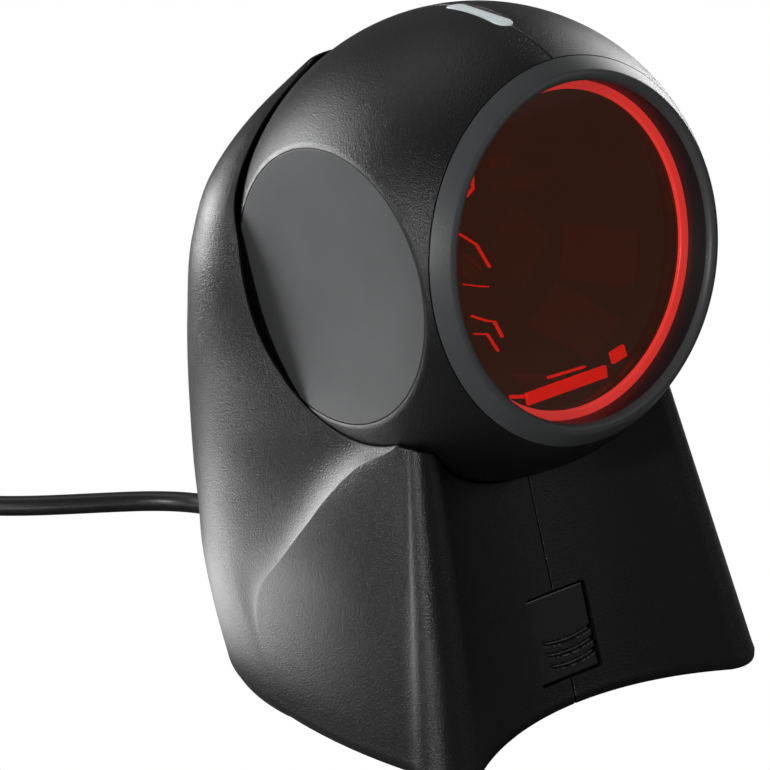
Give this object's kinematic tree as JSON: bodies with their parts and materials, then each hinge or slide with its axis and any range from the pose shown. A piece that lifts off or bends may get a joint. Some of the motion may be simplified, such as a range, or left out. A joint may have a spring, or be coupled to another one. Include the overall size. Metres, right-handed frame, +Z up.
{
  "type": "presentation barcode scanner",
  "caption": "Hands-free countertop barcode scanner: round laser scan head with a recessed red window, held at an adjustable tilt in a sculpted, hooded stand with a cable at the back.",
  "frame": {"origin": "on the table, straight below the centre of the scan head's ball", "axes": "+Z up, the scan window faces -Y (tilted up 11.4 degrees at rest), +X is the right side seen from the front"},
  "size_m": [0.102, 0.194, 0.149],
  "materials": {
    "shell_black": "moulded black ABS, fine spark-eroded grain",
    "bezel_grey": "smooth dark grey ABS, semi-gloss",
    "cap_grey": "satin dark grey ABS",
    "window_red": "polished dark red filter window",
    "ring_red": "bright red moulded ring",
    "key_pale": "translucent pale acrylic",
    "badge_black": "smooth black plate with moulded grooves",
    "base_black": "moulded black ABS, plain",
    "rubber_black": "matt black rubber",
    "cable_black": "black PVC cable jacket, slight sheen",
    "screw_steel": "zinc-plated steel",
    "ballast_steel": "bare pressed steel",
    "insert_brass": "knurled brass",
    "bracket_nylon": "glass-filled nylon",
    "pad_acetal": "natural acetal",
    "chassis_black": "black anti-reflection plastic",
    "mirror_glass": "front-surface mirror",
    "laser_brass": "turned brass",
    "motor_steel": "plated steel",
    "board_green": "green solder mask",
    "component_black": "black moulded packages",
    "connector_pale": "natural nylon",
    "led_amber": "clear amber resin",
    "ribbon_amber": "polyimide film",
    "diode_dark": "dark filter resin"
  },
  "bodies": {
    "stand": {"stand_shell_left": "shell_black", "stand_shell_right": "shell_black", "badge_plate": "badge_black", "base_plate": "base_black", "rubber_feet": "rubber_black", "threaded_inserts": "insert_brass", "ballast_plate": "ballast_steel", "base_screws": "screw_steel", "bracket_screws": "screw_steel", "tilt_bracket": "bracket_nylon", "friction_pad": "pad_acetal", "clamp_plate": "bracket_nylon", "clamp_studs": "screw_steel", "clamp_nuts": "screw_steel", "cable": "cable_black", "strain_relief": "rubber_black", "cable_clamp": "bracket_nylon"},
    "head": {"head_shell_left": "shell_black", "head_shell_right": "shell_black", "front_bezel": "bezel_grey", "scan_window": "window_red", "window_ring": "ring_red", "side_cap_left": "cap_grey", "side_cap_right": "cap_grey", "side_screws": "screw_steel", "optics_chassis": "chassis_black", "chassis_screws": "screw_steel", "pattern_mirrors": "mirror_glass", "collection_mirror": "mirror_glass", "laser_module": "laser_brass", "laser_clamp": "chassis_black", "motor_stator": "motor_steel", "motor_bearings": "motor_steel", "detector_board": "board_green", "photodiode": "diode_dark", "main_board": "board_green", "board_components": "component_black", "board_screws": "screw_steel", "buzzer": "component_black", "data_connector": "connector_pale", "cable_plug": "component_black", "head_lead": "cable_black", "indicator_board": "board_green", "status_leds": "led_amber", "tact_switch": "component_black", "indicator_ribbon": "ribbon_amber"},
    "polygon": {"polygon_mirror": "mirror_glass", "motor_rotor": "motor_steel"},
    "button": {"status_button": "key_pale"}
  },
  "joints": [
    {"name": "head_tilt", "type": "hinge", "parent": "stand", "child": "head", "pos_m": [0, 0, 0.098], "axis": [-1, 0, 0], "range_deg": [-11.4, 18.6]},
    {"name": "polygon_spin", "type": "hinge", "parent": "head", "child": "polygon", "pos_m": [0, 0, 0.098], "axis": [0, -0.9803, 0.1977], "continuous": true},
    {"name": "key_press", "type": "slide", "parent": "head", "child": "button", "axis": [0, 0, -1], "range_m": [0, 0.0005]}
  ]
}
